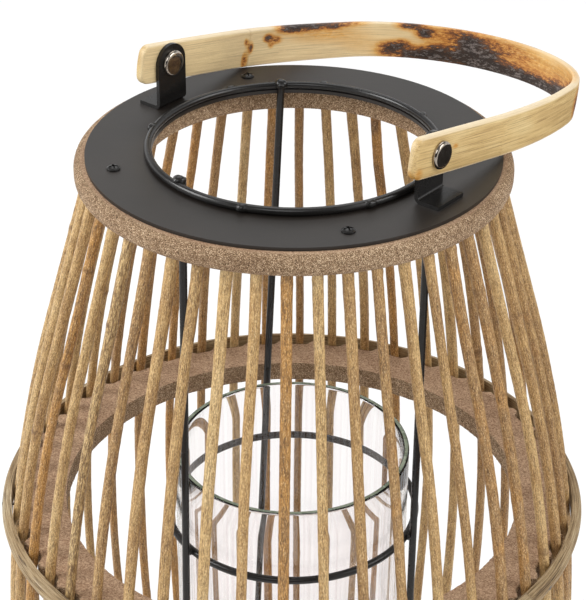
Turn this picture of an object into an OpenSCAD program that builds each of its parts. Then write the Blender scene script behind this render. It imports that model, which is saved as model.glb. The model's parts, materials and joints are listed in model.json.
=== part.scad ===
// Candle lantern: a barrel of thin round sticks on three fibreboard rings, a black top plate
// with a folding bamboo handle, and a wire cage that holds a lift-out glass cup.
// Millimetres, +Z up. The origin is the centre of the base ring's underside, +X runs along
// the handle's pivot, and the handle lies folded down towards +Y.

/* [Body] */
// Height from the ground to the top face of the metal plate
body_h = 380; // [350:5:420]
// Thickness of each fibreboard ring
board_t = 9; // [8:0.5:10]
// Diameter of the fibreboard ring under the plate
top_ring_d = 173; // [172:0.5:176]
// Hole in the fibreboard ring under the plate
top_ring_hole_d = 121; // [119:0.5:124]
// Hole in the middle ring
mid_ring_hole_d = 195; // [180:1:205]
// Depth of the middle ring's top face below the metal plate
mid_ring_drop = 161; // [155:1:170]
// Diameter of the base ring
base_ring_d = 234; // [232:1:240]
// Hole in the base ring
base_ring_hole_d = 184; // [170:1:195]
// Rounding of the rings' outer edges
board_round = 3.4; // [2:0.1:4]

/* [Sticks] */
// Number of upright sticks, an even number
stick_count = 46; // [40:2:50]
// Diameter of a stick
stick_d = 4; // [3.5:0.1:4.4]
// Distance from the axis to a stick where it leaves the top ring
stick_top_r = 80.8; // [80:0.1:81.2]
// Outward lean of a stick's straight upper part, in degrees
stick_lean = 16.1; // [15.8:0.1:16.4]
// Length of a stick's straight upper part
stick_straight = 69; // [66:1:72]
// Radius of the long bend in the rest of a stick
stick_bend_r = 609; // [600:1:620]
// Depth of the blind hole that each end of a stick sits in
stick_socket = 6; // [4:0.5:7]
// Angle of the first stick from +X
stick_phase = 2.2; // [0:0.1:7]

/* [Hoop] */
// Height of the half-round cane hoop
hoop_h = 8.2; // [7:0.1:9]
// How far the hoop's top edge stands above the middle ring
hoop_rise = 1.6; // [0:0.1:2]
// Number of brads that hold the hoop to the middle ring
brad_count = 8; // [6:1:12]
// Diameter of a brad
brad_d = 1.2; // [1:0.1:1.6]

/* [Metal top] */
// Diameter of the metal plate
plate_d = 164; // [163:0.5:165]
// Hole in the metal plate
plate_hole_d = 112; // [111.8:0.1:112.6]
// Thickness of the metal plate
plate_t = 1.5; // [1:0.1:1.6]
// Distance from the axis to each plate screw
screw_r = 72; // [70:0.5:74]
// Angle of the first plate screw from +X
screw_phase = 55; // [40:1:60]
// Diameter of a plate screw's head
screw_head_d = 5.4; // [5:0.1:6]
// Diameter of a plate screw's shank
screw_d = 2.6; // [2.4:0.1:3]

/* [Handle] */
// Height of the handle's pivot above the metal plate
pivot_h = 18.5; // [18.3:0.1:19]
// Width of the bamboo strip
strip_w = 16.4; // [15:0.1:16.6]
// Thickness of the bamboo strip
strip_t = 3.2; // [2.8:0.1:3.2]
// Distance between the middles of the handle's two ends
handle_span = 135; // [134.8:0.1:135.4]
// Distance from the pivot to the far side of the handle
handle_reach = 155; // [150:1:165]
// Radius of the bend at the far side of the handle
handle_bend_r = 60; // [56:1:62]
// Length of the straight part of each arm, from the pivot
arm_straight = 38; // [34:1:42]
// Length of each arm past the pivot
arm_tail = 15.5; // [14:0.1:15.6]
// How far the folded handle dips below level, in degrees
handle_dip = 11; // [10.4:0.1:11]

/* [Brackets and rivets] */
// Thickness of the bracket's steel
bracket_t = 1.6; // [1.4:0.1:1.6]
// Width of a bracket
bracket_w = 16; // [15:0.5:18]
// Length of a bracket's foot, outwards from its upright tab
foot_l = 11; // [9:0.5:12]
// Diameter of the rivet's two domed caps
rivet_cap_d = 11; // [9:0.5:12]
// Height of a rivet cap
rivet_cap_h = 2.2; // [1.8:0.1:2.6]
// Diameter of the rivet's post
rivet_d = 5; // [4:0.1:5.2]

/* [Wire cage and cup] */
// Diameter of the wire
wire_d = 3.2; // [3.2:0.1:3.4]
// Centreline radius of the wire ring on the plate
rim_r = 57.3; // [57.3:0.1:57.8]
// Centreline radius of the wire ring round the cup
basket_r = 54; // [53.8:0.1:54.4]
// Depth of that ring's centre below the metal plate
basket_drop = 172; // [165:1:180]
// Outside diameter of the glass cup
cup_d = 100.8; // [98:0.1:101]
// Height of the glass cup
cup_h = 140; // [130:1:150]
// Depth of the cup's rim below the metal plate
cup_drop = 141; // [138:1:146]
// Thickness of the glass wall
glass_t = 2.6; // [2:0.1:3]
// Thickness of the glass floor
glass_floor = 5; // [4:0.5:7]

/* [Hidden] */
// Gap between pieces that move past each other, and round a screw in the sheet steel
gap = 0.3;
// Radial clearance of a round piece in its own hole
running = 0.05;
// Gap between the sticks and the ring and hoop that they pass between
stick_gap = 0.15;
// How far a cut runs past the face it starts from
cut = 1;
wire_r = wire_d / 2;
stick_r = stick_d / 2;
// A stick's bend starts inside a slight knot
knot_r = stick_r + 0.3;
knot_l = 0.6;
knot_angle = 0.05;
stick_pitch = 360 / stick_count;
group_count = stick_count / 2;
// Round stretches: a full turn, a thin wire, and an arc of a very large circle
round_fn = 96;
wire_fn = 32;
long_fn = 720;

// Heights
board_under_plate = body_h - plate_t;
top_ring_z = board_under_plate - board_t;
mid_ring_z = body_h - mid_ring_drop - board_t;
hoop_z = mid_ring_z + board_t + hoop_rise - hoop_h / 2;
pivot_z = body_h + pivot_h;
rim_z = body_h + wire_r;
basket_z = body_h - basket_drop;
cup_z = body_h - cup_drop - cup_h;
rest_z = cup_z - gap - wire_r;
foot_ring_z = rest_z - wire_d;

// A stick's outline in its own upright plane: straight from p0 to p1, then an arc round bend_c
p0 = [stick_top_r, top_ring_z];
p1 = p0 + stick_straight * [sin(stick_lean), -cos(stick_lean)];
bend_c = p1 - stick_bend_r * [cos(stick_lean), sin(stick_lean)];
bend_end = asin((board_t - bend_c[1]) / stick_bend_r);
socket_angle = stick_socket / stick_bend_r * 180 / PI;
function stick_at(z) = bend_c[0] + sqrt(pow(stick_bend_r, 2) - pow(z - bend_c[1], 2));
stick_slope = acos((stick_at(mid_ring_z) - bend_c[0]) / stick_bend_r);
mid_ring_r = stick_at(mid_ring_z + board_t) - stick_r / cos(stick_slope) - stick_gap;
hoop_r = stick_at(hoop_z - hoop_h / 2) + stick_r / cos(stick_slope) + stick_gap;

// The three upright rods run from inside the rim wire to outside the basket ring. The cage is
// bent by hand, so the angles from +X at which they meet the two rings aren't even
upright_top_a = [27, 135, 258];
upright_basket_a = [14, 142, 258];
upright_over = 1.9;
upright_end_z = foot_ring_z - wire_r;
function on_ring(r, a, z) = [r * cos(a), r * sin(a), z];
function upright_top(i) = on_ring(rim_r - wire_d, upright_top_a[i], rim_z);
function upright_run(i) = on_ring(basket_r + wire_d, upright_basket_a[i], basket_z) - upright_top(i);
function upright_at(i, z) = upright_top(i) + upright_run(i) * (rim_z - z) / (rim_z - basket_z);

// The ring at the rods' feet lies inside them and touches all three: centre_of() gives the point
// level with points a, b and c and equally far from each
function squares(v) = v[0] * v[0] + v[1] * v[1];
function cross_sum(k, a, b, c) =
    k[0] * (b[1] - c[1]) + k[1] * (c[1] - a[1]) + k[2] * (a[1] - b[1]);
function flipped(v) = [v[1], -v[0]];
function centre_of(a, b, c) =
    [
        cross_sum([squares(a), squares(b), squares(c)], a, b, c),
        cross_sum([squares(a), squares(b), squares(c)], flipped(a), flipped(b), flipped(c))
    ] / (2 * cross_sum([a[0], b[0], c[0]], a, b, c));
function foot_of(i) = upright_at(i, foot_ring_z);
foot_centre = centre_of(foot_of(0), foot_of(1), foot_of(2));
foot_ring_r = norm([foot_of(0)[0], foot_of(0)[1]] - foot_centre) - wire_d;
// The cup stands on two straight wires, one on each side of the axis
rest_y = 22;

// Handle and brackets along the pivot, measured from the middle of the lantern
arm_x = handle_span / 2;
tab_x = arm_x - strip_t / 2 - gap - bracket_t;
cap_x = arm_x + strip_t / 2 + gap;
tab_bend_r = 2.6;
strip_corner_r = 4.5;
// The handle's arms run straight, then bend in along leg_r to meet the bend at the far side
leg_rise = handle_reach - handle_bend_r - arm_straight;
leg_r = (pow(arm_x, 2) + pow(leg_rise, 2) - pow(handle_bend_r, 2)) / (2 * (arm_x - handle_bend_r));
leg_angle = asin(leg_rise / (leg_r - handle_bend_r));
leg_steps = 16;
bend_steps = 60;
bend_step = (180 - 2 * leg_angle) / bend_steps;

// Screws and brads
screw_l = 7;
screw_head_h = 1.5;
recess_l = screw_head_d * 2 / 3;
recess_w = 0.8;
recess_depth = 0.9;
brad_z = hoop_z - 0.4;
brad_tip_r = mid_ring_r - 8;
// The brads' heads sit in the crown of the hoop
brad_seat_r = hoop_r + hoop_h / 2 - 0.5;
brad_head_d = brad_d * 1.6;
brad_head_l = 0.6;
// The straight edge of a domed head, as a share of its height
dome_edge = 0.35;

BOARD = [0.66, 0.54, 0.44];
STICK = [0.72, 0.57, 0.36];
BLACK = [0.12, 0.12, 0.12];
BAMBOO = [0.86, 0.74, 0.5];
CANE = [0.72, 0.65, 0.52];
NICKEL = [0.8, 0.8, 0.78];
GLASS = [0.85, 0.92, 0.9, 0.35];

function two_digits(n) = str(n < 10 ? "0" : "", n);
STICK_NODES = [for (i = [1:group_count]) str("sticks_", two_digits(i))];

// ---- Shared shapes ----

// A wire ring lying flat
module wire_ring(r, z) {
    translate([0, 0, z])
        rotate_extrude($fn = round_fn)
            translate([r, 0])
                circle(d = wire_d, $fn = wire_fn);
}

// A flat ring from z = 0 upwards, with its outer edges rounded
module board_ring(outer_r, inner_r) {
    rotate_extrude($fn = round_fn)
        union() {
            translate([inner_r, 0])
                square([outer_r - board_round - inner_r, board_t]);
            translate([outer_r - board_round - cut, board_round])
                square([board_round + cut, board_t - 2 * board_round]);
            for (z = [board_round, board_t - board_round])
                translate([outer_r - board_round, z])
                    circle(r = board_round, $fn = wire_fn);
        }
}

// Puts its child at every stick's place round the axis, turned to face outwards
module at_each_stick() {
    for (i = [0:stick_count - 1])
        rotate([0, 0, stick_phase + i * stick_pitch])
            children();
}

// The hole for a stick's top end
module stick_top_hole(r, depth) {
    translate([p0[0], 0, p0[1]])
        rotate([0, -stick_lean, 0])
            translate([0, 0, -cut])
                cylinder(r = r, h = depth + cut, $fn = wire_fn);
}

// The hole for a stick's lower end
module stick_base_hole(r, depth) {
    translate([stick_at(board_t), 0, board_t])
        rotate([0, 180 - bend_end, 0])
            translate([0, 0, -cut])
                cylinder(r = r, h = depth + cut, $fn = wire_fn);
}

// One whole stick, in the upright plane through +X: a straight rod and a long bend, which
// meet inside a slight knot
module stick() {
    translate([p0[0], 0, p0[1]])
        rotate([0, 180 - stick_lean, 0])
            translate([0, 0, -stick_socket])
                cylinder(r = stick_r, h = stick_socket + stick_straight - knot_l, $fn = wire_fn);
    translate([p1[0], 0, p1[1]])
        sphere(r = knot_r, $fn = wire_fn);
    translate([bend_c[0], 0, bend_c[1]])
        rotate([90, 0, 0])
            rotate([0, 0, bend_end - socket_angle])
                rotate_extrude(angle = stick_lean - knot_angle - bend_end + socket_angle, $fn = long_fn)
                    translate([stick_bend_r, 0])
                        circle(r = stick_r, $fn = wire_fn);
}

// Two neighbouring sticks, each a solid of its own
module stick_pair(group) {
    color(STICK)
        for (i = [0, 1])
            rotate([0, 0, stick_phase + (2 * group + i) * stick_pitch])
                stick();
}

// A shallow dome of diameter d and height h on a short straight edge, its flat side on z = 0
module cap_dome(d, h) {
    edge = h * dome_edge;
    rise = h - edge;
    ball_r = (pow(d / 2, 2) + pow(rise, 2)) / (2 * rise);
    rotate_extrude($fn = round_fn)
        union() {
            square([d / 2, edge]);
            intersection() {
                translate([0, edge])
                    square([d / 2, rise]);
                translate([0, h - ball_r])
                    circle(r = ball_r, $fn = 4 * round_fn);
            }
        }
}

// Lays an upright child along +X, at the handle's pivot
module on_pivot(x) {
    translate([x, 0, pivot_z])
        rotate([0, 90, 0])
            children();
}

// ---- Body rings ----

module top_ring() {
    color(BOARD)
        difference() {
            translate([0, 0, top_ring_z])
                board_ring(top_ring_d / 2, top_ring_hole_d / 2);
            at_each_stick()
                stick_top_hole(stick_r + running, stick_socket + gap);
            at_each_screw()
                translate([0, 0, board_under_plate - screw_l - gap])
                    cylinder(d = screw_d + 2 * running, h = screw_l + gap + cut, $fn = wire_fn);
        }
}

module mid_ring() {
    color(BOARD)
        difference() {
            translate([0, 0, mid_ring_z])
                rotate_extrude($fn = round_fn)
                    translate([mid_ring_hole_d / 2, 0])
                        square([mid_ring_r - mid_ring_hole_d / 2, board_t]);
            at_each_brad()
                brad_shank(brad_d / 2 + running, gap);
        }
}

module base_ring() {
    color(BOARD)
        difference() {
            board_ring(base_ring_d / 2, base_ring_hole_d / 2);
            at_each_stick()
                stick_base_hole(stick_r + running, stick_socket + gap);
        }
}

// ---- Hoop ----

// Puts its child at each brad, midway between two sticks
module at_each_brad() {
    for (i = [0:brad_count - 1])
        rotate([0, 0, stick_phase + (floor(i * stick_count / brad_count) + 0.5) * stick_pitch])
            children();
}

// A brad's shank of radius r, whose point lies deeper than usual by the given length
module brad_shank(r, deeper) {
    translate([brad_tip_r - deeper, 0, brad_z])
        rotate([0, 90, 0])
            cylinder(r = r, h = brad_seat_r - brad_tip_r + deeper, $fn = wire_fn);
}

module brad_head(d, h) {
    translate([brad_seat_r, 0, brad_z])
        rotate([0, 90, 0])
            cylinder(d = d, h = h, $fn = wire_fn);
}

module mid_hoop() {
    color(CANE)
        difference() {
            translate([0, 0, hoop_z])
                rotate_extrude($fn = 2 * round_fn)
                    translate([hoop_r, 0])
                        intersection() {
                            circle(d = hoop_h, $fn = round_fn);
                            translate([0, -hoop_h / 2])
                                square([hoop_h / 2, hoop_h]);
                        }
            at_each_brad() {
                brad_shank(brad_d / 2 + running, cut);
                brad_head(brad_head_d + 2 * running, cut);
            }
        }
}

module hoop_brads() {
    color(BLACK)
        at_each_brad() {
            brad_shank(brad_d / 2, 0);
            brad_head(brad_head_d, brad_head_l);
        }
}

// ---- Metal top ----

module at_each_screw() {
    for (i = [0:3])
        rotate([0, 0, screw_phase + i * 90])
            translate([screw_r, 0, 0])
                children();
}

module top_plate() {
    color(BLACK)
        difference() {
            translate([0, 0, board_under_plate])
                cylinder(d = plate_d, h = plate_t, $fn = 2 * round_fn);
            translate([0, 0, board_under_plate - cut])
                cylinder(d = plate_hole_d, h = plate_t + 2 * cut, $fn = 2 * round_fn);
            at_each_screw()
                translate([0, 0, board_under_plate - cut])
                    cylinder(d = screw_d + 2 * gap, h = plate_t + 2 * cut, $fn = wire_fn);
        }
}

module rim_wire() {
    color(BLACK)
        wire_ring(rim_r, rim_z);
}

// One round-headed screw with a cross recess, standing on z = 0
module screw() {
    difference() {
        union() {
            cap_dome(screw_head_d, screw_head_h);
            translate([0, 0, -screw_l - plate_t])
                cylinder(d = screw_d, h = screw_l + plate_t + screw_head_h / 2, $fn = wire_fn);
        }
        for (a = [0, 90])
            rotate([0, 0, a])
                translate([-recess_l / 2, -recess_w / 2, screw_head_h - recess_depth])
                    cube([recess_l, recess_w, screw_head_h]);
    }
}

module plate_screws() {
    color(BLACK)
        at_each_screw()
            translate([0, 0, body_h])
                screw();
}

// ---- Brackets and rivets, drawn on the +X side ----

module bracket() {
    half_w = bracket_w / 2;
    inner_r = tab_bend_r - bracket_t;
    color(BLACK)
        difference() {
            union() {
                translate([tab_x, -half_w, body_h + tab_bend_r])
                    cube([bracket_t, bracket_w, pivot_h - tab_bend_r]);
                on_pivot(tab_x)
                    cylinder(r = half_w, h = bracket_t, $fn = round_fn);
                translate([tab_x + tab_bend_r, -half_w, body_h])
                    cube([foot_l - tab_bend_r, bracket_w, bracket_t]);
                translate([tab_x + tab_bend_r, half_w, body_h + tab_bend_r])
                    rotate([90, 180, 0])
                        rotate_extrude(angle = 90, $fn = round_fn)
                            translate([inner_r, 0])
                                square([bracket_t, bracket_w]);
            }
            on_pivot(tab_x - cut)
                cylinder(d = rivet_d + 2 * running, h = bracket_t + 2 * cut, $fn = round_fn);
        }
}

module rivet_stud() {
    color(NICKEL) {
        on_pivot(tab_x)
            rotate([0, 180, 0])
                cap_dome(rivet_cap_d, rivet_cap_h);
        on_pivot(tab_x - rivet_cap_h / 3)
            cylinder(d = rivet_d, h = cap_x + rivet_cap_h / 2 - tab_x + rivet_cap_h / 3, $fn = round_fn);
    }
}

module rivet_cap() {
    color(NICKEL)
        difference() {
            on_pivot(cap_x)
                cap_dome(rivet_cap_d, rivet_cap_h);
            on_pivot(cap_x - cut)
                cylinder(d = rivet_d + 2 * running, h = rivet_cap_h / 2 + cut + running, $fn = round_fn);
        }
}

module to_left() {
    rotate([0, 0, 180])
        children();
}

// ---- Handle, drawn level with its pivot through the origin along X ----

// Points on an arc round a centre, from one angle to another
function arc(centre, r, from, to, steps) = [
    for (i = [0:steps])
        let (a = from + (to - from) * i / steps)
            centre + r * [cos(a), sin(a)]
];

function backwards(list) = [for (i = [len(list) - 1:-1:0]) list[i]];

// One side of the strip seen from above, off the middle line, from the +X arm round to the -X arm
function strip_side(off) = concat(
    [[arm_x + off, strip_corner_r - arm_tail]],
    arc([arm_x - leg_r, arm_straight], leg_r + off, 0, leg_angle, leg_steps),
    arc([0, arm_straight + leg_rise], handle_bend_r + off,
        leg_angle + bend_step, 180 - leg_angle - bend_step, bend_steps - 2),
    arc([leg_r - arm_x, arm_straight], leg_r + off, 180 - leg_angle, 180, leg_steps),
    [[-arm_x - off, strip_corner_r - arm_tail]]);

// The rounded end of the +X arm
module arm_end() {
    c = strip_corner_r;
    translate([arm_x - strip_t / 2, c - arm_tail, -strip_w / 2])
        cube([strip_t, 2 * c, strip_w]);
    translate([arm_x - strip_t / 2, -arm_tail, c - strip_w / 2])
        cube([strip_t, 2 * c, strip_w - 2 * c]);
    for (z = [c - strip_w / 2, strip_w / 2 - c])
        translate([arm_x - strip_t / 2, c - arm_tail, z])
            rotate([0, 90, 0])
                cylinder(r = c, h = strip_t, $fn = round_fn);
}

module handle_level() {
    difference() {
        union() {
            translate([0, 0, -strip_w / 2])
                linear_extrude(height = strip_w)
                    polygon(concat(strip_side(strip_t / 2), backwards(strip_side(-strip_t / 2))));
            arm_end();
            mirror([1, 0, 0])
                arm_end();
        }
        translate([-arm_x - strip_t, 0, 0])
            rotate([0, 90, 0])
                cylinder(d = rivet_d + 2 * running, h = 2 * (arm_x + strip_t), $fn = round_fn);
    }
}

module handle() {
    color(BAMBOO)
        translate([0, 0, pivot_z])
            rotate([-handle_dip, 0, 0])
                handle_level();
}

// ---- Wire cage ----

// A straight rod that leans as it goes down
module upright(number) {
    from = upright_at(number, rim_z + upright_over);
    run = upright_at(number, upright_end_z) - from;
    color(BLACK)
        translate(from)
            rotate([0, acos(run[2] / norm(run)), atan2(run[1], run[0])])
                cylinder(r = wire_r, h = norm(run), $fn = wire_fn);
}

module basket_ring() {
    color(BLACK)
        wire_ring(basket_r, basket_z);
}

module cage_foot_ring() {
    color(BLACK)
        translate([foot_centre[0], foot_centre[1], 0])
            wire_ring(foot_ring_r, foot_ring_z);
}

function rest_half(y) = sqrt(pow(foot_ring_r, 2) - pow(y - foot_centre[1], 2)) + wire_r / 2;

module cup_rests() {
    color(BLACK)
        for (y = [-rest_y, rest_y])
            translate([foot_centre[0] - rest_half(y), y, rest_z])
                rotate([0, 90, 0])
                    cylinder(r = wire_r, h = 2 * rest_half(y), $fn = wire_fn);
}

module glass_cup() {
    outer_r = cup_d / 2;
    lip_r = glass_t / 2;
    heel_r = 2;
    color(GLASS)
        translate([0, 0, cup_z])
            rotate_extrude($fn = 2 * round_fn)
                union() {
                    square([outer_r - heel_r, glass_floor]);
                    translate([0, heel_r])
                        square([outer_r, glass_floor - heel_r]);
                    translate([outer_r - heel_r, heel_r])
                        circle(r = heel_r, $fn = wire_fn);
                    translate([outer_r - glass_t, heel_r])
                        square([glass_t, cup_h - heel_r - lip_r]);
                    translate([outer_r - lip_r, cup_h - lip_r])
                        circle(r = lip_r, $fn = wire_fn);
                }
}

// ---- Every piece in its place ----
top_plate();
rim_wire();
top_ring();
plate_screws();
bracket();  // bracket_right
to_left() bracket();  // bracket_left
rivet_stud();  // rivet_stud_right
to_left() rivet_stud();  // rivet_stud_left
rivet_cap();  // rivet_cap_right
to_left() rivet_cap();  // rivet_cap_left
handle();
upright(0);  // upright_a
upright(1);  // upright_b
upright(2);  // upright_c
basket_ring();
cage_foot_ring();
cup_rests();
glass_cup();
mid_ring();
mid_hoop();
hoop_brads();
base_ring();
for (i = [0:group_count - 1])
    stick_pair(i);
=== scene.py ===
"""The looks of the candle lantern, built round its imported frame.

Metres, in the lantern's own frame: +Z up, the ground at z = 0, +X along the handle's pivot,
and the folded handle towards +Y. Pieces take their places from the CAD nodes' boxes and from
the few sizes named below.
"""
import json
import math

import bpy
import numpy as np
from mathutils import Matrix, Vector


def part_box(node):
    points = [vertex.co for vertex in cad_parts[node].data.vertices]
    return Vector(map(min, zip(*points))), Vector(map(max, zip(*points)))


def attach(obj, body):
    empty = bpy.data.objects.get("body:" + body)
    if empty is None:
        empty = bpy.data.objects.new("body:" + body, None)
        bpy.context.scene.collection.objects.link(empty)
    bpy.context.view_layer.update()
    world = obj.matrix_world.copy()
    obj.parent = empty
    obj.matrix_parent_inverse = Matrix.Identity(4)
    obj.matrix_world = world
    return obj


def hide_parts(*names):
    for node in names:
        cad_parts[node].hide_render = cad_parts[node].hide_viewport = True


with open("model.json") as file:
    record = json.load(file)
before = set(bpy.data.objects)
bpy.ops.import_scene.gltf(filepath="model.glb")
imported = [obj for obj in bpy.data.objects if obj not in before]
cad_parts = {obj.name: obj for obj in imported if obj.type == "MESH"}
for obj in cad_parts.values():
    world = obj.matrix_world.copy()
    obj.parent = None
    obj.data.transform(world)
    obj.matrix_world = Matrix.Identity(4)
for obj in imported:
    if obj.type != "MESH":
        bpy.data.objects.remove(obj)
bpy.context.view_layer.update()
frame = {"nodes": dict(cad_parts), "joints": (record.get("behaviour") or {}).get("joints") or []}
nodes = frame["nodes"]
MM = 0.001

# The sticks: straight from the top ring, then one long bend down to the base ring
STICK_COUNT = 46
STICK_R = 2.0 * MM
STICK_TOP_R = 80.8 * MM
STICK_LEAN = math.radians(16.1)
STICK_STRAIGHT = 69 * MM
STICK_BEND_R = 609 * MM
STICK_PHASE = math.radians(2.2)
STICK_PITCH = 2 * math.pi / STICK_COUNT

# The handle: its plan before it is folded down, measured along the middle of the strip
ARM_X = 67.5 * MM
ARM_TAIL = 15.5 * MM
ARM_STRAIGHT = 38 * MM
BEND_R = 60 * MM
REACH = 155 * MM
STRIP_HALF_W = 8.2 * MM
STRIP_HALF_T = 1.6 * MM
STRIP_CORNER = 4.5 * MM
HANDLE_DIP = math.radians(11)

WIRE_R = 1.6 * MM
UP = np.array([0, 0, 1.0])
pivot_z = next(j for j in frame["joints"] if j["name"] == "handle_fold")["pos_m"][2]


# ---- Colour and shader helpers ----

def srgb(red, green, blue, alpha=1.0):
    """A colour given as it looks on a screen, from 0 to 255, as the linear one that a node takes."""
    def linear(level):
        c = level / 255
        return c / 12.92 if c <= 0.04045 else ((c + 0.055) / 1.055) ** 2.4
    return (linear(red), linear(green), linear(blue), alpha)


WHITE = srgb(255, 255, 255)


class Shader:
    """A material with one Principled shader, and short ways to add the nodes that feed it."""

    def __init__(self, name, **fixed):
        self.material = bpy.data.materials.new(name)
        self.material.use_nodes = True
        self.tree = self.material.node_tree
        self.shader = self.tree.nodes["Principled BSDF"]
        for socket, value in fixed.items():
            self.shader.inputs[socket.replace("_", " ")].default_value = value

    def add(self, kind, values, **settings):
        """A node. values fill its inputs, by name or number, with sockets or plain values."""
        node = self.tree.nodes.new("ShaderNode" + kind)
        for key, value in settings.items():
            setattr(node, key, value)
        for socket, value in values.items():
            if isinstance(value, bpy.types.NodeSocket):
                self.tree.links.new(value, node.inputs[socket])
            else:
                node.inputs[socket].default_value = value
        return node

    def feed(self, socket, value):
        """Links a value into the shader itself."""
        self.tree.links.new(value, self.shader.inputs[socket])

    def place(self, stretch=(1, 1, 1)):
        """The piece's own coordinates, in metres, scaled along each axis."""
        where = self.add("TexCoord", {}).outputs["Object"]
        return self.stretched(where, stretch)

    def attribute(self, name, output="Fac"):
        """A value that the mesh carries at its points."""
        return self.add("Attribute", {}, attribute_name=name).outputs[output]

    def stretched(self, where, stretch):
        """Coordinates scaled along each axis. A small number draws a pattern out along that axis."""
        node = self.add("VectorMath", {0: where, 1: stretch}, operation="MULTIPLY")
        return node.outputs[0]

    def noise(self, where, size, detail=3.0, rough=0.55, bend=0.0):
        """Soft noise whose patches are about size across, in metres."""
        values = {
            "Vector": where, "Scale": 1 / size, "Detail": detail, "Roughness": rough, "Distortion": bend}
        return self.add("TexNoise", values).outputs["Fac"]

    def ramp(self, factor, *stops):
        """A colour ramp through (position, colour) stops."""
        node = self.add("ValToRGB", {"Fac": factor})
        points = node.color_ramp.elements
        while len(points) < len(stops):
            points.new(0.5)
        for point, (position, colour) in zip(points, stops):
            point.position = position
            point.color = colour
        return node.outputs["Color"]

    def level(self, factor, low, high, to_low=0.0, to_high=1.0):
        """factor between low and high, as a number between to_low and to_high."""
        values = {"Value": factor, "From Min": low, "From Max": high, "To Min": to_low, "To Max": to_high}
        return self.add("MapRange", values, clamp=True).outputs["Result"]

    def maths(self, operation, a, b):
        return self.add("Math", {0: a, 1: b}, operation=operation).outputs[0]

    def mix(self, factor, a, b, blend="MIX"):
        """Colour a, with b blended in by factor."""
        node = self.tree.nodes.new("ShaderNodeMix")
        node.data_type = "RGBA"
        node.blend_type = blend
        for index, value in ((0, factor), (6, a), (7, b)):
            if isinstance(value, bpy.types.NodeSocket):
                self.tree.links.new(value, node.inputs[index])
            else:
                node.inputs[index].default_value = value
        return node.outputs[2]

    def bump(self, height, depth, strength=1.0, under=None):
        """A normal bumped by height, on top of the normal under if there is one."""
        values = {"Height": height, "Distance": depth, "Strength": strength}
        if under is not None:
            values["Normal"] = under
        return self.add("Bump", values).outputs["Normal"]


# ---- Materials ----

def black_steel(name, dark, light, smooth, rough):
    """Black powder coat with a fine orange peel. dark and light are its two shades, and smooth and
    rough its two roughnesses."""
    s = Shader(name, IOR=1.5, Specular_IOR_Level=0.44)
    where = s.place()
    cloud = s.noise(where, 35 * MM, 3)
    peel = s.noise(where, 0.45 * MM, 2)
    dust = s.noise(where, 1.3 * MM, 4, 0.7)
    s.feed("Base Color", s.mix(
        s.level(dust, 0.62, 0.78, 0, 0.5),
        s.ramp(cloud, (0.3, dark), (0.7, light)),
        srgb(62, 58, 54)))
    s.feed("Roughness", s.level(cloud, 0.3, 0.7, smooth, rough))
    s.feed("Normal", s.bump(peel, 0.03 * MM, 0.5, s.bump(cloud, 0.5 * MM, 0.25)))
    return s.material


def fibreboard():
    """Bare fibreboard: coarse speckled fibres where it is cut, and pressed smoother on its flat faces."""
    s = Shader("fibreboard", Roughness=0.85, Specular_IOR_Level=0.25)
    where = s.place()
    fibres = s.noise(where, 0.34 * MM, 2, 0.8)
    coarse = s.noise(where, 1.6 * MM, 3, 0.6)
    cloud = s.noise(where, 22 * MM, 3)
    cut = s.ramp(
        s.level(s.maths("ADD", fibres, s.maths("MULTIPLY", coarse, 0.22)), 0.3, 0.92),
        (0.22, srgb(42, 30, 20)), (0.42, srgb(120, 94, 69)),
        (0.57, srgb(155, 126, 96)), (0.76, srgb(236, 214, 182)))
    mat = s.noise(s.place((1, 1, 0.2)), 0.7 * MM, 4, 0.8)
    pressed = s.ramp(
        mat, (0.34, srgb(116, 88, 66)), (0.5, srgb(172, 141, 113)), (0.64, srgb(212, 184, 154)))
    up = s.add("SeparateXYZ", {"Vector": s.add("NewGeometry", {}).outputs["Normal"]}).outputs["Z"]
    flat = s.level(s.maths("ABSOLUTE", up, 0), 0.97, 0.999)
    colour = s.mix(flat, cut, pressed)
    s.feed("Base Color", s.mix(
        s.level(cloud, 0.4, 0.75, 0, 0.35), colour, srgb(150, 118, 92), "MULTIPLY"))
    s.feed("Normal", s.bump(fibres, 0.14 * MM, 0.7, s.bump(coarse, 0.2 * MM, 0.25)))
    return s.material


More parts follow.
